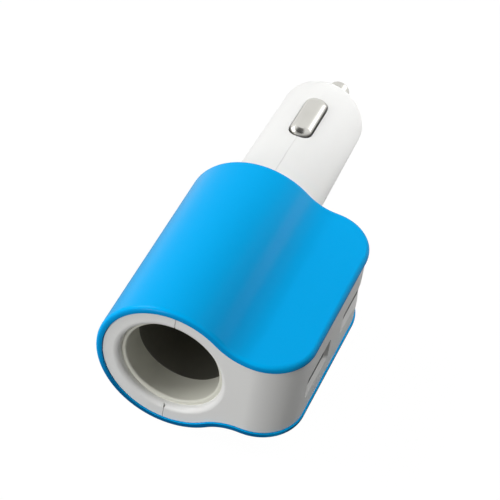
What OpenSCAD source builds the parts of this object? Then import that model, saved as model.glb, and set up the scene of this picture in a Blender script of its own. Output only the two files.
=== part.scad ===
// Lighter-socket plug adaptor: a 12 V plug at the back, a 12 V socket at the front
// and two USB ports on the narrow side. Millimetres.
// The origin is on the plug's axis at the back edge of the cover. +Y runs to the
// plug's tip, +X to the side with the USB ports, and +Z is up.

/* [Body] */
// Width of the white ring outside the socket's sleeve
ring_w = 2.65; // [2.4:0.05:4]
// Radius of the hollow cove between the round side and the wing
cove_r = 13.35; // [11:0.05:14]
// Width of the wing's straight stretch between a cove and a corner
flat_w = 0.4; // [0.2:0.05:3]
// Wall of the white shells
shell_wall = 1.6; // [1.4:0.1:1.9]
// Step from the cover's edges down to the white faces
white_inset = 0.4; // [0.2:0.05:0.6]
// Width of the fine line left open along the seam on the body's faces
seam_gap = 0.14; // [0.06:0.02:0.2]
// Width of the finer line along the plug
plug_seam_gap = 0.06; // [0.04:0.02:0.12]
// Depth of both lines
seam_depth = 0.5; // [0.3:0.1:0.7]

/* [Cover] */
// Height of the cover's outer face above the white body
cover_t = 1.65; // [1.4:0.05:2.2]
// Play between the cover and the white body
cover_gap = 0.1; // [0.05:0.05:0.2]
// Rounding of the cover's outer edges
cover_edge_r = 0.7; // [0.3:0.1:0.7]

/* [Socket] */
// Bore of the socket
bore_r = 10.5; // [10.4:0.05:10.7]
// Width of the sleeve's ledge that shows in the mouth
ledge_w = 1; // [0.8:0.1:1.2]
// Rounding of the mouth's lip
lip_r = 1.3; // [0.8:0.1:1.5]
// Wall of the white inner sleeve
sleeve_wall = 1.9; // [1.6:0.1:2.1]
// Depth from the white face to the metal barrel
barrel_depth = 8.4; // [6:0.1:12]
// Length of the barrel that the sleeve holds
barrel_hold = 3.6; // [2:0.1:6]
// Wall of the metal barrel
barrel_wall = 0.6; // [0.4:0.1:0.8]
// Room between the end of the bore and the back face
back_room = 11.9; // [11.5:0.1:14]
// Thickness of the insulating disc behind the bore
disc_t = 1.8; // [1.2:0.1:2.2]
// Radius of the centre contact's head
rivet_head_r = 4; // [3:0.1:5]
// Radius of the centre contact's shank
rivet_r = 1.9; // [1.2:0.1:2.5]

/* [Plug] */
// Radius of the plug at the body
plug_r = 10.4; // [10.2:0.05:10.5]
// Length of the straight part before the draft starts
plug_land = 12; // [8:0.5:14]
// Draft of the plug's radius from there to its shoulder
plug_draft = 0.55; // [0.3:0.05:0.8]
// Distance of the shoulder from the body
shoulder_y = 38.6; // [38:0.1:44]
// Rounding of the nose
nose_fillet = 5; // [4:0.1:5.6]
// Wall of the hollow plug at the body
plug_wall = 2.2; // [2:0.05:2.4]

/* [Tip] */
// Radius of the tip pin
tip_r = 2.5; // [2:0.1:2.9]
// Height of the tip pin above the nose
tip_out = 8; // [5:0.1:9]
// Radius of curvature of the pin's end
tip_dome_r = 3.2; // [3:0.1:5]
// Width of the pin's flange
tip_flange_w = 0.9; // [0.7:0.05:1]
// Thickness of the pin's flange
tip_flange_t = 1.2; // [0.8:0.1:1.6]
// Length of the pin's stem inside the spring
tip_stem_len = 6; // [3:0.5:9]
// Wire radius of the tip spring
coil_wire_r = 0.25; // [0.2:0.05:0.3]
// Turns of the tip spring
coil_turns = 10; // [7:1:12]

/* [Side contacts] */
// Distance of the side contacts' middle from the plug's shoulder
contact_back = 12.2; // [11.5:0.1:14]
// Length of a side contact
contact_len = 14.2; // [11:0.1:15]
// Width of a side contact
contact_w = 5.2; // [4.6:0.1:6]
// Corner radius of a side contact, seen from outside
contact_corner_r = 2.3; // [1.5:0.1:2.3]
// Height of the crown above the plug's full radius
contact_out = 1.5; // [1.2:0.05:1.7]
// Fall of the crown to a contact's long edges
crown_fall = 0.9; // [0.5:0.1:1.3]
// Fall of the crown to a contact's ends
end_fall = 1.7; // [1:0.1:1.9]
// Thickness of a contact's flange
flange_t = 0.6; // [0.5:0.1:0.7]
// Play between a contact and its slot
slot_gap = 0.2; // [0.1:0.05:0.3]
// Thickness of the ground spring's strip
strip_t = 0.25; // [0.2:0.05:0.3]
// Width of the ground spring's strip
strip_w = 4; // [3:0.1:5]

/* [USB ports] */
// Space between the two ports
port_space = 7.7; // [6.6:0.1:9]
// Lane for the wires between the back wall and the rear port
wire_lane = 4.45; // [4.4:0.05:6]
// Height of the ports' middle above the plug's axis
port_z = -1.2; // [-1.8:0.1:-0.6]
// Depth of the ports' rims below the white side
port_sink = 0.9; // [0.8:0.1:1.3]
// Width of a port's metal shell
usb_w = 13.1; // [12.9:0.1:13.2]
// Height of a port's metal shell
usb_h = 5.7; // [5.5:0.1:5.8]
// Depth of a port's metal shell
usb_depth = 11.5; // [10.5:0.1:11.5]
// Sheet of a port's metal shell
usb_wall = 0.3; // [0.2:0.05:0.35]

/* [Board] */
// Thickness of the circuit board
board_t = 1.2; // [1:0.1:1.6]
// Radius of the power wires
wire_r = 0.6; // [0.4:0.05:0.65]

/* [Hidden] */
$fn = 96;

WHITE = [0.93, 0.93, 0.91];
BLUE = [0.0, 0.62, 0.90];
NICKEL = [0.72, 0.72, 0.70];
BRASS = [0.80, 0.66, 0.36];
BLACK = [0.10, 0.10, 0.10];

// Radii about the plug's axis
sleeve_r = bore_r + sleeve_wall;
mouth_r = bore_r + ledge_w;
rim_r = sleeve_r + ring_w;
barrel_r = bore_r + barrel_wall;
nose_r = plug_r - plug_draft;
plug_bore_r = plug_r - plug_wall;

// The hollow cove between the round side and the wing touches both. Its centre
// lies in this direction from the axis, which settles the wing's half height.
cove_dir = [0.6, 0.8];
wing_half = rim_r * cove_dir[1] - cove_r * (1 - cove_dir[1]);
cove_x = (rim_r + cove_r) * cove_dir[0];
cove_z = wing_half + cove_r;

// The ports' depth beside the saddles settles how far the wing reaches
saddle_x = sleeve_r + 0.6;
board_x = saddle_x + 0.2;
port_back = 1.7;
wing_x = board_x + port_back + usb_depth + port_sink + white_inset;
corner_r = wing_x - cove_x - flat_w;

// The row of the two ports and the input capacitor settles the body's length
in_cap_r = 3.15;
cap_gap = 0.55;
front_gap = 1;
body_len = 2 * (white_inset + shell_wall) + wire_lane + 2 * usb_w + port_space
    + cap_gap + 2 * in_cap_r + front_gap;

// Faces and inner walls of the white body
face_y = -body_len + white_inset;
back_y = -white_inset;
side_x = wing_x - white_inset;
front_wall_y = face_y + shell_wall;
back_wall_y = back_y - shell_wall;
side_wall_x = side_x - shell_wall;
floor_z = wing_half - shell_wall;
seat_gap = 0.05;

// Socket
sleeve_end_y = face_y + barrel_depth + barrel_hold;
barrel_start_y = face_y + barrel_depth;
bore_end_y = back_y - back_room;
bore_depth = bore_end_y - face_y;
bead_t = 1;
bead_r = bore_r - 0.9;
disc_y = bore_end_y + bead_t;
disc_end_y = disc_y + disc_t;
crimp_r = bore_r - 0.7;
barrel_end_y = disc_end_y + bead_t;
rivet_head_t = 0.8;
saddle_t = 1.5;
stop_r = bore_r - 0.6;

// Plug, tip and springs
contact_y = shoulder_y - contact_back;
contact_crown = plug_r + contact_out;
tip_flange_r = tip_r + tip_flange_w;
nose_end_y = shoulder_y + nose_fillet;
tip_end_y = nose_end_y + tip_out;
nose_hole_r = tip_r + 0.1;
chamber_r = tip_flange_r + 0.2;
tube_end_y = shoulder_y - 2.1;
tip_stop_y = nose_end_y - 3;
flange_end_y = tip_stop_y - seat_gap;
flange_y = flange_end_y - tip_flange_t;
tube_r = chamber_r + 0.8;
flat_z = tube_r - 0.1;
guide_disc_t = 1.2;
guide_disc_r = plug_bore_r - 0.1;
contact_flange_w = contact_w + 1.6;
contact_flange_len = contact_len + 2.4;
guide_disc_y = contact_y - contact_flange_len / 2 - 0.7 - guide_disc_t;
guide_disc_end_y = guide_disc_y + guide_disc_t;
seat_t = 0.6;
seat_end_y = guide_disc_end_y + seat_t;
stud_r = 1.2;
stud_end_y = guide_disc_y - 1.8;
coil_mean_r = chamber_r - 0.2 - coil_wire_r - 0.35;
coil_sides = 6;
coil_steps = 12;
// The flange's top clears the round bore at its long edges
flange_top = sqrt(pow(plug_bore_r, 2) - pow(contact_flange_w / 2, 2)) - 0.25;
flange_low = flange_top - flange_t;
strip_hole_r = stud_r + 0.4;
arch_half = contact_len / 2;
arch_rise = flange_low - flat_z - seat_gap;
arch_r = (arch_half * arch_half + arch_rise * arch_rise) / (2 * arch_rise);

// USB ports and board
rear_port_y = back_wall_y - wire_lane - usb_w / 2;
front_port_y = rear_port_y - usb_w - port_space;
ports_mid_y = (front_port_y + rear_port_y) / 2;
ports = [front_port_y, rear_port_y];
port_x = side_x - port_sink;
usb_corner_r = 0.7;
usb_fit = 0.05;
window_gap = 0.15;
finger_len = 5.4;
finger_w = 1.4;
slit_w = 0.4;
slit_end = 0.6;
tongue_w = usb_w - 2;
tongue_t = 1.84;
tongue_up = 0.95;
tongue_back = 2;
tongue_block = 2.6;
tongue_low = tongue_up - tongue_t / 2;
pin_ys = [-3.5, -1, 1, 3.5];
pin_w = 1;
pin_t = 0.25;
pin_proud = 0.1;
pin_back_x = -usb_depth + 1.4;
pin_slot_half = pin_ys[3] + pin_w / 2 + 1;
leg_x = -usb_depth * 0.55;
leg_len = 2;
tail_out = 0.8;
board_top = port_z - usb_h / 2;
board_low = board_top - board_t;
board_front_y = front_wall_y + 0.8;
board_back_y = back_wall_y - 0.8;
board_end_x = side_wall_x - 0.4;
board_corner_r = corner_r - (wing_x - board_end_x);
board_rib_w = 1.2;
rear_pad_y = back_wall_y - 2.4;
// The last pad in that row keeps inside the board's rounded corner
corner_rise = board_corner_r - (board_back_y - rear_pad_y);
barrel_pad_x = board_end_x - board_corner_r - 0.8
    + sqrt(pow(board_corner_r, 2) - pow(corner_rise, 2));

// Parts on the board
part_gap = 0.3;
inductor_r = 3;
inductor_x = board_x + part_gap + inductor_r;
inductor_h = 4.2;
winding_r = 2.75;
core_r = 1.6;
core_lip = 0.7;
out_cap_r = 2.4;
out_cap_x = inductor_x + inductor_r + part_gap + out_cap_r;
out_cap_h = 7.5;
in_cap_x = 18;
in_cap_y = front_port_y - usb_w / 2 - cap_gap - in_cap_r;
in_cap_h = 8;
under_x = 21.5;

// Routes of the four inner wires, point by point from the plug's end. Each leaves
// its joint straight, a hair clear of it, and passes well inside the plug's bore.
joint_gap = 0.12;
pad_z = board_top + joint_gap;
strip_back_y = guide_disc_y - strip_t;
socket_pad_y = rear_pad_y - 1.3;
positive_route = [[0, stud_end_y - joint_gap, 0], [0, 12.5, 0], [0.8, 8, -0.3], [2.4, 3, -1],
    [5, -1.4, -1.6], [8.8, rear_pad_y + 0.1, -1.8], [12.5, rear_pad_y, -1.8],
    [15.8, rear_pad_y, -1.8], [17, rear_pad_y, -2.8], [17, rear_pad_y, pad_z]];
ground_route = [[0, strip_back_y - joint_gap, 3.2], [0, 13, 3.2], [0.8, 8, 3.1], [2.4, 3, 2.8],
    [4.8, -1.4, 2.2], [8.8, rear_pad_y - 0.1, 1], [13, rear_pad_y, 0.2], [17, rear_pad_y, -0.2],
    [19.5, rear_pad_y, -1.8], [19.5, rear_pad_y, pad_z]];
socket_route = [[0, disc_end_y + rivet_head_t + joint_gap, 0], [0, disc_end_y + 1.7, 0],
    [1.2, disc_end_y + 3.1, -0.8], [4, socket_pad_y - 0.1, -1.9], [8, socket_pad_y, -2.3],
    [12, socket_pad_y, -2.3], [14.2, socket_pad_y, -3], [14.2, socket_pad_y, pad_z]];
barrel_route = [[(barrel_r + wire_r) * cos(15), disc_y - 0.8, (barrel_r + wire_r) * sin(15)],
    [13.5, disc_y + 0.8, 3.1], [16, rear_pad_y - 3.1, 3], [barrel_pad_x - 2, rear_pad_y - 0.6, 2.5],
    [barrel_pad_x, rear_pad_y, 0.8], [barrel_pad_x, rear_pad_y, pad_z]];

// Shared shapes

module along_y(y0, y1) {
    translate([0, y1, 0]) rotate([90, 0, 0]) linear_extrude(y1 - y0) children();
}

module along_x(x0, x1) {
    translate([x0, 0, 0]) rotate([90, 0, 90]) linear_extrude(x1 - x0) children();
}

module about_y() {
    rotate([-90, 0, 0]) rotate_extrude() children();
}

module ring_2d(r0, r1, y0, y1) {
    translate([r0, y0]) square([r1 - r0, y1 - y0]);
}

module rounded_rect(w, h, r) {
    square([w - 2 * r, h], center = true);
    square([w, h - 2 * r], center = true);
    for (sx = [-1, 1], sy = [-1, 1])
        translate([sx * (w / 2 - r), sy * (h / 2 - r)]) circle(r);
}

// The body's outline seen from the front, moved outward by grow
module body_outline(grow, x_end) {
    r = rim_r + grow;
    h = wing_half + grow;
    circle(r);
    translate([0, -h]) square([x_end, 2 * h]);
    for (s = [-1, 1]) difference() {
        polygon([[0, 0], [r * cove_dir[0], s * r * cove_dir[1]], [cove_x, s * cove_z], [cove_x, 0]]);
        translate([cove_x, s * cove_z]) circle(cove_r - grow);
    }
}

// The body's outline seen from above, moved inward by inset
module plan_outline(inset) {
    x0 = -rim_r - cover_t - 1;
    x1 = wing_x - corner_r;
    r = corner_r - inset;
    translate([x0, -body_len + inset]) square([x1 - x0, body_len - 2 * inset]);
    translate([x1, -body_len + corner_r]) square([r, body_len - 2 * corner_r]);
    for (y = [-body_len + corner_r, -corner_r]) translate([x1, y]) circle(r);
}

module body_block(grow, inset) {
    tall = 2 * (rim_r + cover_t) + 2;
    intersection() {
        along_y(-body_len, 0) body_outline(grow, wing_x + 1);
        translate([0, 0, -tall / 2]) linear_extrude(tall) plan_outline(inset);
    }
}

// Half section of the plug, moved inward by inset
module plug_section(inset) {
    start_y = back_wall_y;
    polygon([[0, start_y], [plug_r - inset, start_y], [plug_r - inset, plug_land],
        [nose_r - inset, shoulder_y], [0, shoulder_y]]);
    ring_2d(0, nose_r - nose_fillet, shoulder_y - 1, nose_end_y - inset);
    intersection() {
        translate([nose_r - nose_fillet, shoulder_y]) circle(nose_fillet - inset);
        ring_2d(0, nose_r, shoulder_y, nose_end_y);
    }
}

// Sweep of a round wire along a path of points
function unit(v) = v / norm(v);
function path_dir(path, i) = unit(path[min(i + 1, len(path) - 1)] - path[max(i - 1, 0)]);
function wire_ring(p, dir, r, sides, side_ref) =
    let(u = unit(cross(side_ref, dir)), v = cross(dir, u))
    [for (k = [0 : sides - 1]) p + r * (cos(360 * k / sides) * u + sin(360 * k / sides) * v)];

module wire_sweep(path, r, sides, side_ref) {
    n = len(path);
    points = [for (i = [0 : n - 1]) each wire_ring(path[i], path_dir(path, i), r, sides, side_ref)];
    walls = [for (i = [0 : n - 2], k = [0 : sides - 1])
        [i * sides + k, (i + 1) * sides + k, (i + 1) * sides + (k + 1) % sides, i * sides + (k + 1) % sides]];
    caps = [[for (k = [0 : sides - 1]) k], [for (k = [sides - 1 : -1 : 0]) (n - 1) * sides + k]];
    polyhedron(points, concat(walls, caps));
}

// Smooth curve through a few points
function spline_point(p0, p1, p2, p3, t) = 0.5 * (2 * p1 + (p2 - p0) * t
    + (2 * p0 - 5 * p1 + 4 * p2 - p3) * t * t + (3 * p1 - p0 - 3 * p2 + p3) * t * t * t);
function spline(points, steps) =
    let(last = len(points) - 1)
    [for (i = [0 : last - 1], s = [0 : steps - 1])
        spline_point(points[max(i - 1, 0)], points[i], points[i + 1], points[min(i + 2, last)], s / steps),
        points[last]];

// White shells

module mouth_cut() {
    about_y() translate([0, face_y]) {
        ring_2d(0, mouth_r, -1, shell_wall + 0.01);
        difference() {
            ring_2d(0, mouth_r + lip_r, -0.01, lip_r);
            translate([mouth_r + lip_r, lip_r]) circle(lip_r);
        }
    }
}

// Plates across the body that carry the sleeve and the barrel
module saddle(y0, y1, hole_r) {
    reach = rim_r + 1;
    along_y(y0, y1) difference() {
        intersection() {
            body_outline(-shell_wall + 0.01, saddle_x);
            translate([-reach, -reach]) square([reach + saddle_x, 2 * reach]);
        }
        circle(hole_r);
    }
}

module saddles() {
    saddle(front_wall_y - 0.01, front_wall_y + 2.2, sleeve_r + seat_gap);
    saddle(sleeve_end_y - 1.8, sleeve_end_y - 0.3, sleeve_r + seat_gap);
    saddle(face_y + bore_depth * 0.7, face_y + bore_depth * 0.7 + saddle_t, barrel_r + seat_gap);
    saddle(barrel_end_y, barrel_end_y + saddle_t, stop_r);
}

module contact_slot() {
    translate([0, contact_y, 0]) linear_extrude(plug_r + 1)
        rounded_rect(contact_w + 2 * slot_gap, contact_len + 2 * slot_gap, contact_corner_r + slot_gap);
}

// The line left open where the two shells meet, on every face that shows
module seam_line() {
    w = seam_gap;
    pw = plug_seam_gap;
    tall = 2 * rim_r + 2;
    translate([-w / 2, face_y - 1, -tall / 2]) cube([w, 1 + seam_depth, tall]);
    translate([-w / 2, back_y - seam_depth, -tall / 2]) cube([w, seam_depth + 0.01, tall]);
    difference() {
        translate([-pw / 2, back_y, -plug_r - 1]) cube([pw, nose_end_y - back_y + 1, 2 * plug_r + 2]);
        about_y() plug_section(seam_depth);
    }
}

// Small notches where the seam runs out over the mouth's lip
module seam_notches() {
    for (s = [-1, 1])
        along_y(face_y - 0.1, face_y + 0.8)
            polygon([[-0.5, s * (mouth_r - 0.3)], [0.5, s * (mouth_r - 0.3)], [0, s * (mouth_r + 1.3)]]);
}

module shells_whole() {
    difference() {
        union() {
            difference() {
                union() {
                    body_block(0, white_inset);
                    about_y() plug_section(0);
                }
                body_block(-shell_wall, white_inset + shell_wall);
                about_y() ring_2d(0, plug_bore_r, back_wall_y - 1, tube_end_y);
            }
            saddles();
        }
        mouth_cut();
        about_y() {
            ring_2d(0, chamber_r, tube_end_y - 1, tip_stop_y);
            ring_2d(0, nose_hole_r, tip_stop_y - 1, nose_end_y + 1);
        }
        contact_slot();
        mirror([0, 0, 1]) contact_slot();
        seam_line();
        seam_notches();
    }
}

module half_space(side) {
    size = 200;
    translate([side > 0 ? 0 : -size, -size / 2, -size / 2]) cube([size, size, size]);
}

module shell_left() {
    color(WHITE) intersection() {
        shells_whole();
        half_space(-1);
    }
}

module at_port(y) {
    translate([port_x, y, port_z]) children();
}

module port_window() {
    along_x(-shell_wall - 0.1, port_sink + 1)
        rounded_rect(usb_w + 2 * window_gap, usb_h + 2 * window_gap, usb_corner_r + window_gap);
}

// Ribs that carry the board from below, and fingers that hold the ports down
module board_ribs() {
    x0 = board_x + 1.5;
    x1 = side_wall_x - 1;
    over_z = port_z + usb_h / 2;
    for (y = [front_port_y - usb_w / 2 - 1.6, ports_mid_y, rear_pad_y + 0.8])
        translate([x0, y - board_rib_w / 2, -floor_z - 0.01])
            cube([x1 - x0, board_rib_w, board_low + floor_z + 0.01]);
    for (y = ports)
        translate([x0 + 2, y - board_rib_w / 2, over_z])
            cube([x1 - x0 - 2, board_rib_w, floor_z - over_z + 0.01]);
}

module shell_right() {
    color(WHITE) difference() {
        union() {
            intersection() {
                shells_whole();
                half_space(1);
            }
            board_ribs();
        }
        for (y = ports) at_port(y) port_window();
    }
}

// Cover

// Section of the cover's wall: x from the white body outward, y along the body
module cover_section() {
    e = cover_edge_r;
    ring_2d(cover_gap, cover_t - e, -body_len, 0);
    ring_2d(cover_gap, cover_t, -body_len + e, -e);
    for (y = [-body_len + e, -e]) translate([cover_t - e, y]) circle(e);
}

// Section of the wing's plate from the corner's centre out to its rounded edge
module plate_section() {
    e = cover_edge_r;
    ring_2d(0, corner_r - e, cover_gap, cover_t);
    ring_2d(0, corner_r, cover_gap, cover_t - e);
    translate([corner_r - e, cover_t - e]) circle(e);
}

// Round side: a full ring, less the wedge that the coves and the wing fill
module cover_round() {
    far = 3 * wing_x;
    difference() {
        about_y() translate([rim_r, 0]) cover_section();
        along_y(-body_len - 1, 1)
            polygon([[0, 0], far * cove_dir, [2 * far, far],
                [2 * far, -far], [far * cove_dir[0], -far * cove_dir[1]]]);
    }
}

module cover_cove() {
    intersection() {
        translate([cove_x, 0, cove_z]) about_y()
            translate([cove_r, 0]) mirror([1, 0]) cover_section();
        along_y(-body_len - 1, 1) polygon([[0, 0], [cove_x, cove_z], [cove_x, 0]]);
    }
}

module cover_plate() {
    x1 = wing_x - corner_r;
    translate([0, 0, wing_half]) {
        along_x(cove_x, x1) mirror([1, -1]) cover_section();
        translate([x1, 0, 0]) along_y(-body_len + corner_r, -corner_r) plate_section();
        translate([x1, -body_len + corner_r, 0]) rotate_extrude(start = -90, angle = 90) plate_section();
        translate([x1, -corner_r, 0]) rotate_extrude(start = 0, angle = 90) plate_section();
    }
}

module wrap_cover() {
    color(BLUE) {
        cover_round();
        for (m = [0, 1]) mirror([0, 0, m]) {
            cover_cove();
            cover_plate();
        }
    }
}

// Socket

module socket_sleeve() {
    color(WHITE) about_y() {
        ring_2d(bore_r, sleeve_r, front_wall_y, barrel_start_y);
        ring_2d(barrel_r + seat_gap, sleeve_r, barrel_start_y, sleeve_end_y);
    }
}

module socket_barrel() {
    color(NICKEL) about_y() {
        ring_2d(bore_r, barrel_r, barrel_start_y, barrel_end_y);
        ring_2d(bead_r, bore_r, bore_end_y, disc_y);
        ring_2d(crimp_r, bore_r, disc_end_y, barrel_end_y);
    }
}

module socket_disc() {
    color(BLACK) about_y() ring_2d(rivet_r + seat_gap, bore_r - seat_gap, disc_y, disc_end_y);
}

module socket_contact() {
    color(BRASS) about_y() {
        ring_2d(0, rivet_head_r, disc_y - rivet_head_t, disc_y);
        ring_2d(0, rivet_r, disc_y - rivet_head_t, disc_end_y + rivet_head_t);
        ring_2d(0, rivet_r + 0.9, disc_end_y, disc_end_y + rivet_head_t);
    }
}

// Tip

module tip_pin() {
    color(NICKEL) about_y() {
        ring_2d(0, tip_r, flange_end_y - 0.01, tip_end_y - tip_dome_r);
        intersection() {
            translate([0, tip_end_y - tip_dome_r]) circle(tip_dome_r);
            ring_2d(0, tip_r, tip_stop_y, tip_end_y);
        }
        ring_2d(0, tip_flange_r, flange_y, flange_end_y);
        ring_2d(0, tip_r - 0.5, flange_y - tip_stem_len, flange_y);
    }
}

module tip_spring() {
    y0 = seat_end_y + coil_wire_r + 0.01;
    y1 = flange_y - coil_wire_r - 0.01;
    n = coil_turns * coil_steps;
    path = [for (i = [0 : n]) let(turn = 360 * i / coil_steps)
        [coil_mean_r * cos(turn), y0 + (y1 - y0) * i / n, coil_mean_r * sin(turn)]];
    color(NICKEL) wire_sweep(path, coil_wire_r, coil_sides, [0, 1, 0]);
}

module spring_seat() {
    color(BRASS) about_y() {
        ring_2d(0, chamber_r - 0.1, guide_disc_end_y, seat_end_y);
        ring_2d(0, stud_r, stud_end_y, seat_end_y);
    }
}

// Tube that guides the tip spring and carries the ground spring outside
module spring_tube() {
    color(WHITE) difference() {
        about_y() {
            ring_2d(stud_r + 0.1, guide_disc_r, guide_disc_y, guide_disc_end_y);
            ring_2d(chamber_r, tube_r, guide_disc_y, tube_end_y);
        }
        for (s = [-1, 1]) {
            translate([0, (guide_disc_end_y + tube_end_y) / 2, s * (flat_z + 1)])
                cube([3 * tube_r, tube_end_y - guide_disc_end_y + 0.01, 2], center = true);
            translate([0, guide_disc_y + guide_disc_t / 2, s * (flat_z + strip_t / 2)])
                cube([strip_w + 0.2, 2 * guide_disc_t, strip_t + 0.1], center = true);
        }
    }
}

// Side contacts

module side_contact() {
    base_r = contact_w / 2;
    // the two arcs whose falls at the edges give the crown its shape
    cross_r = (pow(base_r, 2) + pow(crown_fall, 2)) / (2 * crown_fall);
    long_r = (pow(contact_len / 2, 2) + pow(end_fall, 2)) / (2 * end_fall);
    intersection() {
        translate([0, contact_y, flange_low]) linear_extrude(contact_crown)
            rounded_rect(contact_w, contact_len, contact_corner_r);
        union() {
            along_y(0, 2 * contact_y) translate([0, contact_crown - cross_r]) circle(cross_r);
            translate([-contact_w, 0, 0]) cube([2 * contact_w, 2 * contact_y, contact_crown - cross_r]);
        }
        along_x(-contact_w, contact_w) translate([contact_y, contact_crown - long_r]) circle(long_r);
    }
    translate([0, contact_y, flange_low]) linear_extrude(flange_t)
        rounded_rect(contact_flange_w, contact_flange_len, contact_corner_r);
}

module side_contact_top() {
    color(NICKEL) side_contact();
}

module side_contact_bottom() {
    color(NICKEL) mirror([0, 0, 1]) side_contact();
}

// Arched leaf under a side contact, seen from the side
module leaf_2d() {
    translate([contact_y, 0]) intersection() {
        translate([0, flat_z + arch_rise - arch_r]) difference() {
            circle(arch_r);
            circle(arch_r - strip_t);
        }
        translate([-arch_half - 1, flat_z]) square([2 * arch_half + 2, arch_rise + 1]);
    }
    translate([strip_back_y, flat_z]) square([contact_y - arch_half - strip_back_y + 0.3, strip_t]);
}

module ground_spring() {
    color(BRASS) difference() {
        union() {
            for (m = [0, 1]) mirror([0, 0, m]) along_x(-strip_w / 2, strip_w / 2) leaf_2d();
            translate([-strip_w / 2, strip_back_y, -flat_z - strip_t])
                cube([strip_w, strip_t, 2 * (flat_z + strip_t)]);
        }
        about_y() ring_2d(0, strip_hole_r, strip_back_y - 1, guide_disc_y);
    }
}

// USB ports

// Slit round a spring finger in the port's sheet
module finger_slit() {
    difference() {
        square([finger_len, finger_w + 2 * slit_w], center = true);
        translate([-slit_end, 0]) square([finger_len, finger_w], center = true);
    }
}

module usb_shell() {
    difference() {
        along_x(-usb_depth, 0) rounded_rect(usb_w, usb_h, usb_corner_r);
        along_x(-usb_depth + usb_wall, 1)
            rounded_rect(usb_w - 2 * usb_wall, usb_h - 2 * usb_wall, usb_corner_r - usb_wall);
        for (y = [-3, 3], z = [-usb_h / 2 - 1, usb_h / 2 - 1])
            translate([-usb_depth / 2 + 0.8, y, z]) linear_extrude(2) finger_slit();
        translate([pin_back_x - 0.5, -pin_slot_half, -usb_h / 2 - usb_wall])
            cube([pin_t + 1.05, 2 * pin_slot_half, 3 * usb_wall]);
    }
    for (s = [-1, 1])
        translate([leg_x - leg_len / 2, s * (usb_w / 2 - usb_wall / 2) - usb_wall / 2,
                -usb_h / 2 - board_t - tail_out])
            cube([leg_len, usb_wall, board_t + tail_out + usb_corner_r + 0.1]);
}

module usb_pins() {
    z0 = tongue_low - pin_proud;
    for (y = pin_ys) {
        translate([pin_back_x, y - pin_w / 2, z0]) cube([usb_depth - tongue_back - 2.4, pin_w, pin_t]);
        translate([pin_back_x, y - pin_w / 2, -usb_h / 2 - board_t - tail_out])
            cube([pin_t, pin_w, usb_h / 2 + board_t + tail_out + z0 + pin_t]);
    }
}

module usb_tongue() {
    w = usb_w - 2 * usb_wall - 2 * usb_fit;
    h = usb_h - 2 * usb_wall - 2 * usb_fit;
    x0 = -usb_depth + usb_wall + usb_fit;
    z0 = tongue_low - pin_proud;
    difference() {
        union() {
            along_x(x0, x0 + tongue_block) rounded_rect(w, h, usb_corner_r - usb_wall);
            translate([x0, -tongue_w / 2, tongue_low])
                cube([usb_depth - tongue_back - usb_wall - usb_fit, tongue_w, tongue_t]);
        }
        for (y = pin_ys) {
            translate([pin_back_x - usb_fit, y - pin_w / 2 - usb_fit, z0 - usb_fit])
                cube([usb_depth, pin_w + 2 * usb_fit, pin_t + 2 * usb_fit]);
            translate([pin_back_x - usb_fit, y - pin_w / 2 - usb_fit, -usb_h])
                cube([pin_t + 2 * usb_fit, pin_w + 2 * usb_fit, usb_h + z0 + pin_t + usb_fit]);
        }
    }
}

module usb_shell_front() { color(NICKEL) at_port(front_port_y) usb_shell(); }
module usb_shell_rear() { color(NICKEL) at_port(rear_port_y) usb_shell(); }
module usb_tongue_front() { color(WHITE) at_port(front_port_y) usb_tongue(); }
module usb_tongue_rear() { color(WHITE) at_port(rear_port_y) usb_tongue(); }
module usb_pins_front() { color(BRASS) at_port(front_port_y) usb_pins(); }
module usb_pins_rear() { color(BRASS) at_port(rear_port_y) usb_pins(); }

// Board and its parts

// Straight on the side of the socket, round at the wing's two corners
module board_outline() {
    x1 = board_end_x - board_corner_r;
    depth = board_back_y - board_front_y;
    translate([board_x, board_front_y]) square([x1 - board_x, depth]);
    intersection() {
        translate([x1, board_front_y]) square([board_corner_r, depth]);
        union() {
            translate([x1, board_front_y + board_corner_r])
                square([board_corner_r, depth - 2 * board_corner_r]);
            for (y = [board_front_y + board_corner_r, board_back_y - board_corner_r])
                translate([x1, y]) circle(board_corner_r);
        }
    }
}

module circuit_board() {
    hole_r = 0.75;
    color([0.10, 0.36, 0.18]) translate([0, 0, board_low]) linear_extrude(board_t) difference() {
        board_outline();
        for (port_y = ports) {
            for (y = pin_ys) translate([port_x + pin_back_x + pin_t / 2, port_y + y]) circle(hole_r);
            for (s = [-1, 1])
                translate([port_x + leg_x, port_y + s * (usb_w - usb_wall) / 2])
                    square([leg_len + 0.4, usb_wall + 0.3], center = true);
        }
    }
}

module on_board(x, y) {
    translate([x, y, board_top]) children();
}

module inductor_core() {
    color([0.25, 0.24, 0.24]) on_board(inductor_x, ports_mid_y) rotate_extrude() {
        ring_2d(0, inductor_r, 0, core_lip);
        ring_2d(0, core_r, 0, inductor_h);
        ring_2d(0, inductor_r, inductor_h - core_lip, inductor_h);
    }
}

module inductor_winding() {
    color([0.72, 0.42, 0.20]) on_board(inductor_x, ports_mid_y) rotate_extrude()
        ring_2d(core_r + 0.02, winding_r, core_lip + 0.02, inductor_h - core_lip - 0.02);
}

// Aluminium can with its crimped groove near the foot
module capacitor(r, h) {
    difference() {
        cylinder(r = r, h = h);
        translate([0, 0, 1.1]) rotate_extrude() translate([r + 0.15, 0]) circle(0.35);
    }
}

module input_capacitor() {
    color(BLACK) on_board(in_cap_x, in_cap_y) capacitor(in_cap_r, in_cap_h);
}

module output_capacitor() {
    color(BLACK) on_board(out_cap_x, ports_mid_y) capacitor(out_cap_r, out_cap_h);
}

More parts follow.
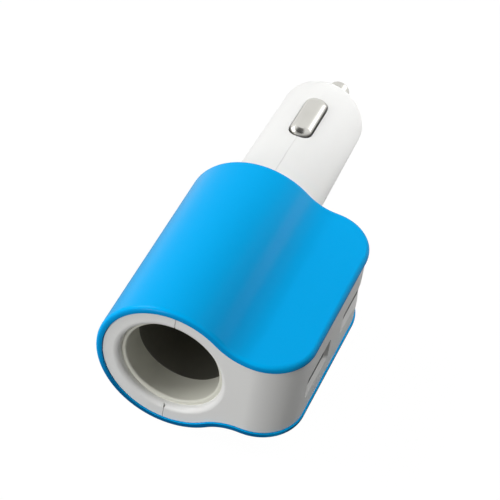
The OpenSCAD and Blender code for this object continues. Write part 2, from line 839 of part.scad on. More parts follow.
module regulator_chip() {
    color(BLACK) translate([under_x, front_port_y, board_low - 1.6]) {
        translate([-1.95, -2.45, 0]) cube([3.9, 4.9, 1.5]);
        for (s = [-1, 1], k = [-1.5 : 1 : 1.5])
            translate([s * 2.4 - 0.5, k * 1.27 - 0.2, 0.7]) cube([1, 0.4, 0.9]);
    }
}

module diode() {
    color(BLACK) translate([under_x, rear_port_y, board_low - 2.1]) {
        translate([-1.3, -2.15, 0]) cube([2.6, 4.3, 2]);
        for (s = [-1, 1]) translate([-0.75, s * 2.3 - 0.35, 1]) cube([1.5, 0.7, 1.1]);
    }
}

// Wires

module inner_wire(route) {
    wire_sweep(spline(route, 4), wire_r, 8, [0.1, 0.25, 1]);
}

module positive_wire() { color([0.70, 0.08, 0.06]) inner_wire(positive_route); }
module ground_wire() { color(BLACK) inner_wire(ground_route); }
module socket_wire() { color([0.70, 0.08, 0.06]) inner_wire(socket_route); }
module barrel_wire() { color(BLACK) inner_wire(barrel_route); }

shell_left();
shell_right();
wrap_cover();
socket_sleeve();
socket_barrel();
socket_disc();
socket_contact();
tip_pin();
tip_spring();
spring_seat();
spring_tube();
side_contact_top();
side_contact_bottom();
ground_spring();
circuit_board();
usb_shell_front();
usb_shell_rear();
usb_tongue_front();
usb_tongue_rear();
usb_pins_front();
usb_pins_rear();
inductor_core();
inductor_winding();
input_capacitor();
output_capacitor();
regulator_chip();
diode();
positive_wire();
ground_wire();
socket_wire();
barrel_wire();
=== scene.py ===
import math

import bmesh
import bpy
from mathutils import Matrix, Vector


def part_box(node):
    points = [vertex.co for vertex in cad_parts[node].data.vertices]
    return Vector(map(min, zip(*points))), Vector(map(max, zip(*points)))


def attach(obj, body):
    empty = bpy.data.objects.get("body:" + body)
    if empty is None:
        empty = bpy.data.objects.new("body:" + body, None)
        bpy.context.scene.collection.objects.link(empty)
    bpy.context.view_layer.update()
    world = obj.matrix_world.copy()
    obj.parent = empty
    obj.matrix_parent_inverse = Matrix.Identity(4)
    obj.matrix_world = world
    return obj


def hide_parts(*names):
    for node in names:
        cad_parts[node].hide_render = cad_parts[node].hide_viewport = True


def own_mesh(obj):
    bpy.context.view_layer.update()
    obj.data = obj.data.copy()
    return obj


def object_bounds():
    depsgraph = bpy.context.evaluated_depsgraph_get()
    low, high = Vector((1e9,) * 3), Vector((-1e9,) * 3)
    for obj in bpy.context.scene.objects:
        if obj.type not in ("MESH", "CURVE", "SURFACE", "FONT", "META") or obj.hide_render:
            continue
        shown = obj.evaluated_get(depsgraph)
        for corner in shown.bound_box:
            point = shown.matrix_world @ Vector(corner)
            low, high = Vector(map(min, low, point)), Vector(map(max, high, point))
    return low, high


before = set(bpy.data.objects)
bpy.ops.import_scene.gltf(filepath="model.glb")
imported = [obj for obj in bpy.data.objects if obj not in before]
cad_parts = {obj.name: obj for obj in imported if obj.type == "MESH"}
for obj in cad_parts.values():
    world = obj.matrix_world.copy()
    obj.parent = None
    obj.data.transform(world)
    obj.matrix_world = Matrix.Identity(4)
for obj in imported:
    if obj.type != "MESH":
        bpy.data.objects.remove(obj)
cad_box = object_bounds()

# Camera
# It looks down into the socket's mouth from the side of the USB ports, a little turned
# about its own line of sight.
camera_at = (0.0946456, -0.3421381, 0.3409565)
camera_right = (0.917939, 0.378513, 0.118877)
camera_up = (-0.347392, 0.622103, 0.701658)
camera_back = (0.191625, -0.685367, 0.702534)
camera_turn = Matrix((camera_right, camera_up, camera_back)).transposed()
camera = bpy.data.objects.new("camera", bpy.data.cameras.new("camera"))
camera.data.lens = 159.76
camera.data.sensor_width = 36
camera.data.clip_start = 0.01
camera.matrix_world = Matrix.Translation(camera_at) @ camera_turn.to_4x4()
bpy.context.scene.collection.objects.link(camera)
bpy.context.scene.camera = camera
bpy.context.scene.view_settings.view_transform = "Standard"


# Floor
# A plain pale table top under the adaptor. The camera sees it white with the adaptor's soft
# shadow on it, and glossy parts mirror it with a painted shadow, darker near the adaptor than far
# from it.
class Value:
    """A number from a shader's socket, on which sums add their Math nodes."""

    def __init__(self, finish, socket):
        self.finish, self.socket = finish, socket

    def __add__(self, other):
        return self.finish.maths("ADD", self, other)

    def __sub__(self, other):
        return self.finish.maths("SUBTRACT", self, other)

    def __rsub__(self, other):
        return self.finish.maths("SUBTRACT", other, self)

    def __mul__(self, other):
        return self.finish.maths("MULTIPLY", self, other)

    def capped(self):
        return self.finish.maths("MINIMUM", self, 1.0)

    __radd__ = __add__
    __rmul__ = __mul__


class Finish:
    """A material or a world whose nodes are added one by one."""

    def __init__(self, tree):
        self.tree = tree

    def fill(self, node, sockets):
        """Gives a node's sockets their numbers, colours or links."""
        for name, value in sockets.items():
            value = value.socket if isinstance(value, Value) else value
            if isinstance(value, bpy.types.NodeSocket):
                self.tree.links.new(value, node.inputs[name])
            else:
                node.inputs[name].default_value = value

    def add(self, kind, settings=None, sockets=None):
        """Adds a node with its settings, and fills its sockets."""
        node = self.tree.nodes.new(kind)
        for name, setting in (settings or {}).items():
            setattr(node, name, setting)
        self.fill(node, sockets or {})
        return node

    def value(self, kind, output, settings, sockets):
        """The number from one output of a new node."""
        return Value(self, self.add(kind, settings, sockets).outputs[output])

    def maths(self, operation, *values):
        return self.value("ShaderNodeMath", 0, {"operation": operation}, dict(enumerate(values)))

    def smooth_step(self, value, start, end, low=0.0, high=1.0):
        """A number that goes from low to high as a value goes from start to end."""
        return self.value("ShaderNodeMapRange", 0, {"interpolation_type": "SMOOTHSTEP"}, {
            "Value": value, "From Min": start, "From Max": end, "To Min": low, "To Max": high})

    def rays(self):
        """1 for a ray from the camera, for a mirrored one and for one through clear matter."""
        outputs = self.add("ShaderNodeLightPath").outputs
        return [Value(self, outputs[name])
                for name in ("Is Camera Ray", "Is Glossy Ray", "Is Transmission Ray")]


floor_half = 3
floor_drop = 0.00005
floor_colour = (0.22, 0.22, 0.215, 1)
white = (1, 1, 1, 1)
white_strength, white_share = 1.1, 0.9
mirror_middle = (0.01, -0.03, cad_box[0][2])
mirror_near, mirror_far, mirror_dark = 0.045, 0.12, 0.12

floor_material = bpy.data.materials.new("pale_floor")
floor_material.use_nodes = True
floor_material.node_tree.nodes.clear()
floor_finish = Finish(floor_material.node_tree)
floor_place = floor_finish.add("ShaderNodeTexCoord").outputs["Object"]
floor_far = floor_finish.value("ShaderNodeVectorMath", "Value", {"operation": "DISTANCE"},
                               {0: floor_place, 1: mirror_middle})
floor_shade = floor_finish.smooth_step(floor_far, mirror_near, mirror_far, mirror_dark)
straight, mirrored, through = floor_finish.rays()
floor_seen = (straight + mirrored * floor_shade + through * floor_shade).capped() * white_share
floor_plain = floor_finish.add("ShaderNodeBsdfDiffuse", None, {"Color": floor_colour})
floor_white = floor_finish.add("ShaderNodeEmission", None,
                               {"Color": white, "Strength": white_strength})
floor_mix = floor_finish.add("ShaderNodeMixShader", None, {
    0: floor_seen, 1: floor_plain.outputs[0], 2: floor_white.outputs[0]})
floor_finish.add("ShaderNodeOutputMaterial", None, {"Surface": floor_mix.outputs[0]})

floor_bm = bmesh.new()
bmesh.ops.create_grid(floor_bm, x_segments=1, y_segments=1, size=floor_half)
bmesh.ops.translate(floor_bm, verts=floor_bm.verts[:], vec=(0, 0, cad_box[0][2] - floor_drop))
floor = bpy.data.objects.new("floor", bpy.data.meshes.new("floor"))
floor_bm.to_mesh(floor.data)
floor_bm.free()
floor.data.materials.append(floor_material)
bpy.context.scene.collection.objects.link(floor)

# Lights
# Five soft lamps stand round the adaptor and a small one near the plug. The two behind only
# show in reflections. The pale surround is dim overhead, which the side contacts mirror.
world_plain, world_pale, patch_depth = 0.2, 0.8, 0.96
patch_way = Vector((-0.16, -0.22, 0.96)).normalized()
patch_edge, patch_heart = 0.87, 0.955

world = bpy.data.worlds.new("surround")
bpy.context.scene.world = world
world.use_nodes = True
world_finish = Finish(world.node_tree)
straight, mirrored, through = world_finish.rays()
world_seen = (straight + mirrored + through).capped()
world_way = world_finish.add("ShaderNodeTexCoord").outputs["Generated"]
overhead = world_finish.value("ShaderNodeVectorMath", "Value", {"operation": "DOT_PRODUCT"},
                              {0: world_way, 1: patch_way})
patch = world_finish.smooth_step(overhead, patch_edge, patch_heart)
world_finish.fill(world.node_tree.nodes["Background"], {
    "Color": white, "Strength": world_seen * (world_pale - patch * patch_depth) + world_plain})


def lamp(name, direction, distance, size, level, glossy=True, diffuse=True, aim_y=0.0,
         spread=math.pi):
    """An area lamp that faces a point near the plug's axis and adds a level of light there."""
    light = bpy.data.lights.new(name, "AREA")
    light.shape = "RECTANGLE"
    light.size, light.size_y = size
    light.energy = level * (math.pi * distance) ** 2
    light.spread = spread
    made = bpy.data.objects.new(name, light)
    away = Vector(direction).normalized()
    made.matrix_world = (Matrix.Translation(Vector((lamp_aim_x, aim_y, 0)) + away * distance)
                         @ away.to_track_quat("Z", "Y").to_matrix().to_4x4())
    made.visible_camera = False
    made.visible_glossy = glossy
    made.visible_diffuse = diffuse
    bpy.context.scene.collection.objects.link(made)


lamp_aim_x = 0.005
lamp("lamp_left", (-0.8, -0.12, 0.585), 0.75, (0.4, 0.4), 0.67)
lamp("lamp_front", (-0.48, -0.86, 0.17), 0.8, (0.3, 0.3), 0.42)
lamp("lamp_behind", (0.34, 0.69, 0.62), 0.7, (0.08, 0.25), 0.017, diffuse=False)
lamp("lamp_stripe", (0.62, 0.685, 0.38), 0.7, (0.45, 0.3), 0.105, diffuse=False)
lamp("lamp_right", (0.42, 0.2, 0.885), 0.7, (0.3, 0.3), 0.29, glossy=False)
lamp("lamp_plug", (0.7, 0.6, 0.38), 0.11, (0.08, 0.08), 0.14, glossy=False, aim_y=0.045,
     spread=0.9)


# White shells
# The body and the plug are two halves moulded in white ABS, parted along the plane through
# the plug's axis. The socket's lip, the seats and the windows of the ports belong to them.
def principled(name):
    """A new material, and the places in millimetres that every pattern on it starts from."""
    material = bpy.data.materials.new(name)
    material.use_nodes = True
    finish = Finish(material.node_tree)
    finish.material = material
    finish.shader = material.node_tree.nodes["Principled BSDF"]
    place = finish.add("ShaderNodeTexCoord").outputs["Object"]
    finish.place = finish.add("ShaderNodeVectorMath", {"operation": "SCALE"},
                              {0: place, "Scale": to_mm}).outputs[0]
    return finish


def noise(finish, scale, detail, stretch=(1, 1, 1)):
    """A cloudy value from 0 to 1, its scale in patches per millimetre."""
    place = finish.add("ShaderNodeMapping", None,
                       {"Vector": finish.place, "Scale": stretch}).outputs[0]
    return finish.value("ShaderNodeTexNoise", 0, None,
                        {"Vector": place, "Scale": scale, "Detail": detail})


def colour_mix(finish, factor, first, second):
    """A colour between two colours, by a value from 0 to 1."""
    return finish.add("ShaderNodeMix", {"data_type": "RGBA"},
                      {0: factor, 6: first, 7: second}).outputs[2]


def feed(finish, colour, roughness, bump, depth, **numbers):
    """Links a finish's colour, roughness and bump of a depth, and sets its plain numbers."""
    raised = finish.add("ShaderNodeBump", None,
                        {"Strength": 1.0, "Distance": depth, "Height": bump})
    finish.fill(finish.shader, {"Base Color": colour, "Roughness": roughness,
                                "Normal": raised.outputs[0]})
    finish.fill(finish.shader, {name.replace("_", " "): n for name, n in numbers.items()})
    return finish.material


def moulded(name, light, dark, rough, grain=0.000006):
    """Moulded plastic: cloudy flow in the colour, and a fine even grain."""
    finish = principled(name)
    flow = noise(finish, flow_scale, 3)
    specks = noise(finish, speck_scale, 2)
    surface = noise(finish, grain_scale, 1) * grain_share + noise(finish, ripple_scale, 1)
    return feed(finish, colour_mix(finish, flow, light, dark), rough + specks * speck_gloss,
                surface, grain)


def span(node, axis):
    """The lowest and the highest place of a CAD node along an axis, in millimetres."""
    return [corner[axis] * to_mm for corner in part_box(node)]


def rounded(bm, geom, radius, segments, affect="EDGES", **more):
    """Rounds edges or corners of a bmesh."""
    bmesh.ops.bevel(bm, geom=geom, offset=radius, offset_type="OFFSET", segments=segments,
                    profile=0.5, affect=affect, material=-1, **more)


def settle(bm, name, node, material, body="body", sharp=40):
    """Turns a bmesh in millimetres into a finished piece on a body, in a CAD node's place."""
    bmesh.ops.scale(bm, vec=(to_metres,) * 3, verts=bm.verts[:])
    for face in bm.faces:
        face.smooth = True
    for edge in bm.edges:
        edge.smooth = len(edge.link_faces) == 2 and edge.calc_face_angle(0) < math.radians(sharp)
    piece = bpy.data.objects.new(name, bpy.data.meshes.new(name))
    bm.to_mesh(piece.data)
    bm.free()
    piece.data.materials.append(material)
    bpy.context.scene.collection.objects.link(piece)
    weighted = piece.modifiers.new("even shading", "WEIGHTED_NORMAL")
    weighted.keep_sharp = True
    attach(piece, body)
    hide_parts(node)
    return piece


def cad_copy(node):
    """A bmesh in millimetres of a CAD node."""
    bm = bmesh.new()
    bm.from_mesh(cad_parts[node].data)
    bmesh.ops.scale(bm, vec=(to_mm,) * 3, verts=bm.verts[:])
    return bm


def dressed(node, material, sharp=30, shape=None, round_edges=None):
    """A merged copy of a CAD node that takes its place, with chosen edges rounded."""
    bm = cad_copy(node)
    if shape:
        shape(bm)
    bmesh.ops.remove_doubles(bm, verts=bm.verts[:], dist=merge_dist)
    bmesh.ops.dissolve_degenerate(bm, dist=merge_dist / 2, edges=bm.edges[:])
    bmesh.ops.dissolve_limit(bm, angle_limit=flat_angle, verts=bm.verts[:], edges=bm.edges[:])
    if round_edges:
        chosen = [e for e in bm.edges if e.calc_face_angle(0) > corner_angle
                  and round_edges((e.verts[0].co + e.verts[1].co) / 2)]
        rounded(bm, chosen, window_round, 3, clamp_overlap=True, loop_slide=True)
    settle(bm, node + "_piece", node, material, sharp=sharp)


to_mm, to_metres = 1000, 0.001
merge_dist = 0.001
flat_angle, corner_angle = math.radians(0.6), math.radians(45)
flow_scale, ripple_scale = 0.09, 0.5
speck_scale, speck_gloss = 3.2, 0.08
grain_scale, grain_share = 5.5, 0.6
white_abs = moulded("white_abs", (0.87, 0.87, 0.855, 1), (0.84, 0.84, 0.825, 1), 0.36)

side_x = span("shell_right", 0)[1]
window_round = 0.2
window_front, window_rear = -42, -5
window_z, window_half = -1.2, 3.4
nose_y, seam_half = 33.5, 0.04
rib_corner, wall_corner = Vector((24.7, -3.0)), (24.41, -3.29)
rib_low, rib_high = -7.9, -5.1
wall_near, rib_near = 0.05, 0.02


def on_window(p):
    """Says whether a place is on the outer edge of a port's window."""
    return (p.x > side_x - wall_near and window_front < p.y < window_rear
            and abs(p.z - window_z) < window_half)


def close_nose(bm):
    """Shuts the fine line of the seam ahead of the side contacts, where it doesn't show."""
    for v in bm.verts:
        if v.co.y > nose_y and abs(v.co.x) < seam_half:
            v.co.x = 0


def trim_rib(bm):
    """Also lays the corner of a board rib, which stands out of the wall's rear corner, flush."""
    close_nose(bm)
    for v in bm.verts:
        if (v.co.xy - rib_corner).length < rib_near and rib_low < v.co.z < rib_high:
            v.co.xy = wall_corner


dressed("shell_left", white_abs, shape=close_nose)
dressed("shell_right", white_abs, shape=trim_rib, round_edges=on_window)


# Cover
# One glossy blue moulding of even wall, wrapped round the body as a C that is open on the
# side of the ports. It clips over the white shells and its outer edges are rounded. Its cut
# edges and ends carry painted shade, a deeper blue than its face, darkest low down.
def points(geometry):
    """The vertices among a bmesh operator's results."""
    return [item for item in geometry if isinstance(item, bmesh.types.BMVert)]


body_len = 50.2
cover_r = 16.7
cove_at = (17.04, 0, 22.72)
round_turn, cove_turn = math.pi - math.atan2(4, 3), -math.atan2(3, 4)
wing_x = 27.7
plan_r = 10.26
cover_wall = 1.55
rim_angle = math.radians(60)
rim_round_out, rim_round_in = 1.0, 0.12

bm = bmesh.new()
start = bm.verts.new((-cover_r, 0, 0))
spun = bmesh.ops.spin(bm, geom=[start], cent=(0, 0, 0), axis=(0, 1, 0), angle=round_turn,
                      steps=44)
spun = bmesh.ops.spin(bm, geom=points(spun["geom_last"]), cent=cove_at, axis=(0, 1, 0),
                      angle=cove_turn, steps=14)
wing = bmesh.ops.extrude_vert_indiv(bm, verts=points(spun["geom_last"]))
bmesh.ops.translate(bm, verts=wing["verts"], vec=(wing_x - cove_at[0], 0, 0))
bmesh.ops.mirror(bm, geom=bm.verts[:] + bm.edges[:], axis="Z", merge_dist=0.0001)
sheet = bmesh.ops.extrude_edge_only(bm, edges=bm.edges[:])
bmesh.ops.translate(bm, verts=points(sheet["geom"]), vec=(0, -body_len, 0))
bmesh.ops.recalc_face_normals(bm, faces=bm.faces[:])
round_side = min(bm.faces, key=lambda f: f.calc_center_median().x)
if round_side.normal.x > 0:
    bmesh.ops.reverse_faces(bm, faces=bm.faces[:])
rounded(bm, [v for v in bm.verts if v.co.x > wing_x - 0.01], plan_r, 18, "VERTICES")
outer = bm.faces[:]
bmesh.ops.solidify(bm, geom=outer, thickness=cover_wall)
outer = {f for f in outer if f.is_valid}
rim = [e for e in bm.edges if len(e.link_faces) == 2 and e.calc_face_angle(0) > rim_angle]
rim_out = [e for e in rim if any(f in outer for f in e.link_faces)]
rim_in = [e for e in rim if e not in set(rim_out)]
rounded(bm, rim_out, rim_round_out, 7)
rounded(bm, [e for e in rim_in if e.is_valid], rim_round_in, 2)

# Painted shade: where the normal faces an end or the ports' side, the blue turns deeper, darkest
# low down.
edge_start, edge_full = 0.62, 0.98
deep_below, bright_above = -12.0, -2.0
glossy = principled("cover_blue")
flow = noise(glossy, flow_scale, 3)
facing = glossy.add("ShaderNodeSeparateXYZ", None,
                    {0: glossy.add("ShaderNodeTexCoord").outputs["Normal"]}).outputs
to_edge = glossy.maths("MAXIMUM", glossy.maths("ABSOLUTE", facing[1]), facing[0])
edge = glossy.smooth_step(to_edge, edge_start, edge_full)
edge_height = glossy.add("ShaderNodeSeparateXYZ", None, {0: glossy.place}).outputs[2]
upper = glossy.smooth_step(edge_height, deep_below, bright_above)
face_blue = colour_mix(glossy, flow, (0.0, 0.42, 0.89, 1), (0.0, 0.405, 0.86, 1))
edge_shade_blue = colour_mix(glossy, upper, (0.0, 0.13, 0.34, 1), (0.0, 0.31, 0.72, 1))
cover_blue = feed(glossy, colour_mix(glossy, edge, face_blue, edge_shade_blue), 0.2,
                  noise(glossy, ripple_scale, 1), 0.000001, Specular_IOR_Level=0.05)
settle(bm, "cover_piece", "wrap_cover", cover_blue)


# Socket sleeve
# A white plastic ring pressed into the mouth. Its front shows as a ledge inside the lip,
# with a rounded inner edge, and its rear half holds the barrel.
def turned(section, steps=128):
    """Turns a closed half section of (radius, y, rounding) corners about the plug's axis."""
    bm = bmesh.new()
    corners = [bm.verts.new((r, y, 0)) for r, y, _ in section]
    for a, b in zip(corners, corners[1:] + corners[:1]):
        bm.edges.new((a, b))
    for corner, (_, _, rounding) in zip(corners, section):
        if rounding:
            rounded(bm, [corner], rounding, 6, "VERTICES")
    on_axis = [e for e in bm.edges if max(abs(v.co.x) for v in e.verts) < 0.0001]
    for e in on_axis:
        bm.edges.remove(e)
    bmesh.ops.spin(bm, geom=bm.verts[:] + bm.edges[:], cent=(0, 0, 0), axis=(0, 1, 0),
                   angle=2 * math.pi, steps=steps, use_merge=True)
    bmesh.ops.remove_doubles(bm, verts=bm.verts[:], dist=0.0001)
    bmesh.ops.recalc_face_normals(bm, faces=bm.faces[:])
    return bm


# Painted shade: the sleeve's white is darker and warmer than the shells' to look shaded inside the
# mouth.
sleeve_shaded_white = moulded("sleeve_shaded_white", (0.735, 0.73, 0.645, 1), (0.70, 0.695, 0.61, 1), 0.4)
bore_r, sleeve_r, sleeve_seat_r = 10.5, 12.4, 11.15
ledge_round, sleeve_round = 0.5, 0.2
sleeve_front, sleeve_back = span("socket_sleeve", 1)
barrel_front, barrel_back = span("socket_barrel", 1)
sleeve = turned([
    (bore_r, sleeve_front, ledge_round), (sleeve_r, sleeve_front, 0),
    (sleeve_r, sleeve_back, sleeve_round), (sleeve_seat_r, sleeve_back, sleeve_round),
    (sleeve_seat_r, barrel_front, 0), (bore_r, barrel_front, 0)])
settle(sleeve, "sleeve_piece", "socket_sleeve", sleeve_shaded_white)


# Socket barrel
# Drawn steel tube, dark inside, that the plug of another device slides into. A bead near its
# end stops that plug, and its end is crimped over the insulating disc.
def metal(name, light, dark, rough, fineness=2.0, stretch=(1, 1, 1), streak=0.14):
    """Metal with fine marks that run along the stretch, and slightly cloudy polish."""
    finish = principled(name)
    marks = noise(finish, fineness, 3, stretch)
    cloud = noise(finish, cloud_scale, 2)
    return feed(finish, colour_mix(finish, cloud, light, dark),
                rough + marks * streak + cloud * cloud_gloss, marks, mark_depth, Metallic=1.0)


mark_depth = 0.000003
cloud_scale, cloud_gloss = 0.25, 0.05
barrel_steel = metal("barrel_steel", (0.27, 0.265, 0.225, 1), (0.23, 0.225, 0.19, 1), 0.5,
                     2.4, (1, 0.1, 1))
barrel_r, crimp_r = 11.1, 9.8
bead_r, bead_len = 9.6, 1
disc_front, disc_back = span("socket_disc", 1)
barrel = turned([
    (bore_r, barrel_front, 0.15), (barrel_r, barrel_front, 0.15),
    (barrel_r, barrel_back, 0.5), (crimp_r, barrel_back, 0.2),
    (crimp_r, disc_back, 0), (bore_r, disc_back, 0), (bore_r, disc_front, 0),
    (bead_r, disc_front, 0), (bead_r, disc_front - bead_len, 0.45),
    (bore_r, disc_front - bead_len, 0.3)])
settle(barrel, "barrel_piece", "socket_barrel", barrel_steel)

# Socket disc and centre contact
# A black phenolic disc closes the barrel, and a brass rivet with a domed head through its
# middle is the live contact.
black_phenolic = moulded("black_phenolic", (0.02, 0.018, 0.016, 1), (0.035, 0.03, 0.026, 1),
                         0.45)
disc_r, disc_hole_r, disc_round = 10.45, 1.95, 0.1
disc = turned([(disc_hole_r, disc_front, disc_round), (disc_r, disc_front, disc_round),
               (disc_r, disc_back, disc_round), (disc_hole_r, disc_back, disc_round)])
settle(disc, "disc_piece", "socket_disc", black_phenolic)

brass = metal("brass", (0.78, 0.57, 0.25, 1), (0.70, 0.50, 0.21, 1), 0.22)
head_r, stem_r, tail_r, head_t = 4, 1.9, 2.8, 0.8
rivet = turned([
    (0, disc_front - head_t, 0), (head_r, disc_front - head_t, 0.6), (head_r, disc_front, 0),
    (stem_r, disc_front, 0), (stem_r, disc_back, 0), (tail_r, disc_back, 0),
    (tail_r, disc_back + head_t, 0.5), (0, disc_back + head_t, 0)])
settle(rivet, "rivet_piece", "socket_contact", brass)

# Tip pin
# Turned and nickel plated brass. It slides in the nose, its flange stops it from falling
# out, and its end is domed.
nickel = metal("nickel", (0.68, 0.67, 0.63, 1), (0.62, 0.61, 0.57, 1), 0.2, 2.0, (1, 0.12, 1),
               0.06)
pin_back, pin_end = span("tip_pin", 1)
pin_r, shank_r, pin_flange_r = 2.5, 2, 3.4
pin_flange_end, pin_flange_t = 40.55, 1.2
pin_flange_start = pin_flange_end - pin_flange_t
dome_r = 3.2
dome_start = pin_end - dome_r + math.sqrt(dome_r ** 2 - pin_r ** 2)
dome_turns = [math.radians(k * 7.5) for k in range(12)]
dome = [(pin_r * math.cos(turn), dome_start + (pin_end - dome_start) * math.sin(turn), 0)
        for turn in dome_turns]
pin = turned([
    (0, pin_back, 0), (shank_r, pin_back, 0.3), (shank_r, pin_flange_start, 0),
    (pin_flange_r, pin_flange_start, 0.2), (pin_flange_r, pin_flange_end, 0.2),
    (pin_r, pin_flange_end, 0), *dome, (0, pin_end, 0)], 96)
settle(pin, "tip_pin_piece", "tip_pin", nickel, body="tip")

# Side contacts
# Pressed nickel plated pills with a crowned back and rounded ends, whose sides carry painted
# shade down in the slots. A flange under the slot holds each in, and the ground spring pushes it
# out.
contact_at = 26.4
contact_w, contact_len, corner_r = 5.2, 14.2, 2.3
half_w, half_len = contact_w / 2, contact_len / 2
blank_t = 3.0
crown, drop_across, drop_along = 11.9, 0.8, 1.5
roll_r = 0.6
contour_steps = (0.08, 0.12, 0.18, 0.24, 0.3, 0.36, 0.4, 0.4)
flange_low, flange_t = 6.612, 0.6
flange_w, flange_len = contact_w + 1.6, contact_len + 2.4

# Painted shade: each contact's sides are dark nickel below the slot's rim, clearing towards the
# crown.
shade_dark_below, shade_clear_above = 10.2, 11.05
contact_finish = principled("contact_nickel")
contact_marks = noise(contact_finish, 2.0, 3, (1, 0.12, 1))
contact_cloud = noise(contact_finish, cloud_scale, 2)
height = contact_finish.add("ShaderNodeSeparateXYZ", None, {0: contact_finish.place}).outputs[2]
clear_of_shade = contact_finish.smooth_step(contact_finish.maths("ABSOLUTE", height) + contact_marks * 0.2,
                         shade_dark_below, shade_clear_above)
plated = colour_mix(contact_finish, contact_cloud, (0.70, 0.69, 0.65, 1), (0.62, 0.61, 0.57, 1))
contact_nickel = feed(contact_finish, colour_mix(contact_finish, clear_of_shade, (0.10, 0.095, 0.085, 1), plated),
                      0.2 + contact_marks * 0.06 + (1 - clear_of_shade) * 0.2, contact_marks, mark_depth,
                      Metallic=1.0)


def rounded_plate(width, length, height, corner):
    """A bmesh plate with rounded corners whose lower face is at z 0."""
    bm = bmesh.new()
    made = bmesh.ops.create_grid(bm, x_segments=1, y_segments=1, size=0.5)
    bmesh.ops.scale(bm, vec=(width, length, 1), verts=made["verts"])
    rounded(bm, bm.verts[:], corner, 10, "VERTICES")
    raised = bmesh.ops.extrude_face_region(bm, geom=bm.faces[:])
    bmesh.ops.translate(bm, verts=points(raised["geom"]), vec=(0, 0, height))
    bmesh.ops.recalc_face_normals(bm, faces=bm.faces[:])
    return bm


def crown_height(x, y):
    """Height of a contact's crowned back over a point, with an edge that rolls over."""
    corner = Vector((max(x - half_w + corner_r, 0), max(y - half_len + corner_r, 0)))
    inside = min(corner_r - corner.length, half_w - x, half_len - y)
    roll = min(1.0, max(0.0, 1 - inside / roll_r))
    back = crown - drop_across * (x / half_w) ** 2.2 - drop_along * (y / half_len) ** 3.2
    return back - roll_r * (1 - math.sqrt(1 - roll ** 2))


for name, body in (("side_contact_top", "contact_top"), ("side_contact_bottom", "contact_bottom")):
    bm = rounded_plate(contact_w, contact_len, blank_t, corner_r)
    top = max(bm.faces, key=lambda f: f.calc_center_median().z)
    for thickness in contour_steps:
        bmesh.ops.inset_region(bm, faces=[top], thickness=thickness, use_even_offset=True)
    for v in bm.verts:
        upper_side = v.co.z > blank_t / 2
        v.co.z = crown_height(abs(v.co.x), abs(v.co.y)) if upper_side else flange_low
    flange = rounded_plate(flange_w, flange_len, flange_t, corner_r)
    bmesh.ops.translate(flange, verts=flange.verts[:], vec=(0, 0, flange_low))
    flange_mesh = bpy.data.meshes.new("flange")
    flange.to_mesh(flange_mesh)
    flange.free()
    bm.from_mesh(flange_mesh)
    bpy.data.meshes.remove(flange_mesh)
    bmesh.ops.translate(bm, verts=bm.verts[:], vec=(0, contact_at, 0))
    if body == "contact_bottom":
        bmesh.ops.rotate(bm, cent=(0, 0, 0), matrix=Matrix.Rotation(math.pi, 3, "Y"),
                         verts=bm.verts[:])
    settle(bm, name + "_piece", name, contact_nickel, body, 50)

# Springs
# The tip spring is wound wire between the seat and the pin's flange. The ground spring is a
# strip of spring steel: a plate behind the guide disc with an arched leaf under each contact.
spring_steel = metal("spring_steel", (0.50, 0.49, 0.47, 1), (0.42, 0.41, 0.39, 1), 0.24, 4.8,
                     (1, 1, 0.2))
coil_r, wire_r = 2.8, 0.25
coil_start, coil_end = span("tip_spring", 1)
coil_start, coil_end = coil_start + wire_r, coil_end - wire_r
turns, turn_steps = 10, 32
coil_steps = turns * turn_steps
bm = bmesh.new()
ring = bmesh.ops.create_circle(bm, segments=12, radius=wire_r)
bmesh.ops.translate(bm, verts=ring["verts"], vec=(coil_r, 0, 0))
wire_end = bm.faces.new(ring["verts"])
bmesh.ops.spin(bm, geom=[wire_end] + bm.edges[:] + bm.verts[:], cent=(0, 0, 0), axis=(0, 1, 0),
               dvec=(0, (coil_end - coil_start) / coil_steps, 0), angle=turns * 2 * math.pi,
               steps=coil_steps)
bmesh.ops.translate(bm, verts=bm.verts[:], vec=(0, coil_start, 0))
bmesh.ops.recalc_face_normals(bm, faces=bm.faces[:])
coil = settle(bm, "tip_spring_piece", "tip_spring", spring_steel)
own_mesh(coil)

strip_z, arch_start = 4.3, 19.3
for name, joint, up in (("ground_plate", None, 0), ("leaf_top", "contact_top_slide", 1),
                        ("leaf_bottom", "contact_bottom_slide", -1)):
    bm = cad_copy("ground_spring")
    bmesh.ops.remove_doubles(bm, verts=bm.verts[:], dist=merge_dist)
    cuts = ((0, -1, 0), (0, 0, -up)) if joint else ((0, 1, 0),)
    for away in cuts:
        bmesh.ops.bisect_plane(bm, geom=bm.verts[:] + bm.edges[:] + bm.faces[:],
                               clear_outer=True, plane_no=away,
                               plane_co=(0, arch_start * abs(away[1]), 0))
        bmesh.ops.holes_fill(bm, edges=[e for e in bm.edges if e.is_boundary])
    leaf = settle(bm, name + "_piece", "ground_spring", spring_steel)
    if joint:
        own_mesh(leaf)

# Spring seat and tube
# A brass seat with a stud takes the tip spring's push and carries the current. The moulded
# tube round it guides the spring and keeps it from the ground strip.
dressed("spring_seat", brass)
dressed("spring_tube", white_abs)

# USB ports
# Each is a bent shell of nickelled steel with spring fingers, a white tongue, and four gold
# plated contacts that go through the board.
port_steel = metal("port_steel", (0.30, 0.30, 0.30, 1), (0.24, 0.24, 0.24, 1), 0.34, 2.4,
                   (0.15, 1, 1))
port_white = moulded("port_white", (0.80, 0.80, 0.78, 1), (0.76, 0.76, 0.74, 1), 0.42)
gold = metal("gold_contact", (0.92, 0.66, 0.26, 1), (0.86, 0.60, 0.22, 1), 0.2)
for port in ("front", "rear"):
    dressed("usb_shell_" + port, port_steel)
    dressed("usb_tongue_" + port, port_white)
    dressed("usb_pins_" + port, gold)

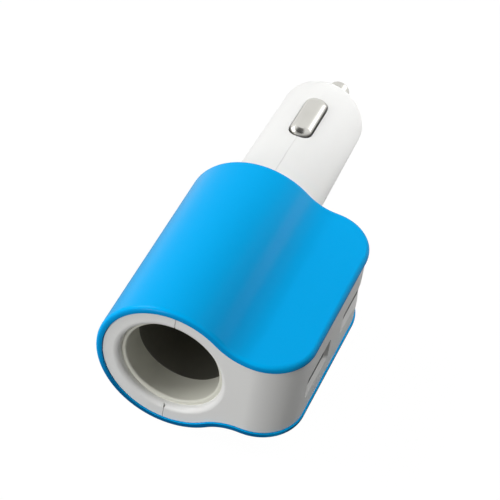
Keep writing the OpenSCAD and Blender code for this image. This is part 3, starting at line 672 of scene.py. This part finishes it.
# Circuit board
# Glass fibre board under a green solder mask, with slots and holes for the ports. The weave
# and the copper tracks show through the mask.
board = principled("board_green")
threads = [board.value("ShaderNodeTexWave", 1,
                       {"wave_profile": "SIN", "bands_direction": direction},
                       {"Vector": board.place, "Scale": 2.2, "Distortion": 0.4})
           for direction in "XY"]
weave = threads[0] * threads[1]
tracks = board.value("ShaderNodeTexBrick", 1, {"offset": 0.5}, {
    "Vector": board.place, "Scale": 0.16, "Mortar Size": 0.05, "Mortar Smooth": 0.1})
mask_green = colour_mix(board, weave * 0.4, (0.012, 0.12, 0.045, 1), (0.02, 0.17, 0.07, 1))
board_green = feed(board, colour_mix(board, tracks * 0.7, mask_green, (0.03, 0.26, 0.10, 1)),
                   0.3 + weave * 0.1, tracks, 0.00002)
dressed("circuit_board", board_green)

# Parts on the board
# The inductor is a ferrite bobbin with a copper winding. The capacitors are aluminium cans
# in printed film, and the chip and the diode sit under the board.
ferrite = moulded("ferrite", (0.05, 0.048, 0.047, 1), (0.075, 0.07, 0.068, 1), 0.55, 0.00002)
dressed("inductor_core", ferrite)
winding = principled("copper")
strands = winding.value("ShaderNodeTexWave", 1, {"wave_profile": "SIN", "bands_direction": "Z"},
                        {"Vector": winding.place, "Scale": 0.9})
copper = feed(winding, colour_mix(winding, strands, (0.30, 0.09, 0.03, 1), (0.75, 0.30, 0.12, 1)),
              0.26 + strands * 0.08, strands, 0.0001, Metallic=1.0)
dressed("inductor_winding", copper)
film = moulded("capacitor_sleeve", (0.02, 0.03, 0.06, 1), (0.03, 0.04, 0.08, 1), 0.3)
dressed("input_capacitor", film)
dressed("output_capacitor", film)
chip_black = moulded("chip_black", (0.025, 0.025, 0.026, 1), (0.04, 0.04, 0.042, 1), 0.5, 0.00001)
dressed("regulator_chip", chip_black)
dressed("diode", chip_black)

# Wires
# Four stranded leads in PVC, two red and two black, from the tip, the ground strip and the
# socket to the board.
wire_red = moulded("wire_red", (0.42, 0.012, 0.01, 1), (0.36, 0.01, 0.008, 1), 0.35)
wire_black = moulded("wire_black", (0.018, 0.018, 0.018, 1), (0.03, 0.03, 0.03, 1), 0.35)
for lead in ("positive_wire", "socket_wire"):
    dressed(lead, wire_red, sharp=70)
for lead in ("ground_wire", "barrel_wire"):
    dressed(lead, wire_black, sharp=70)
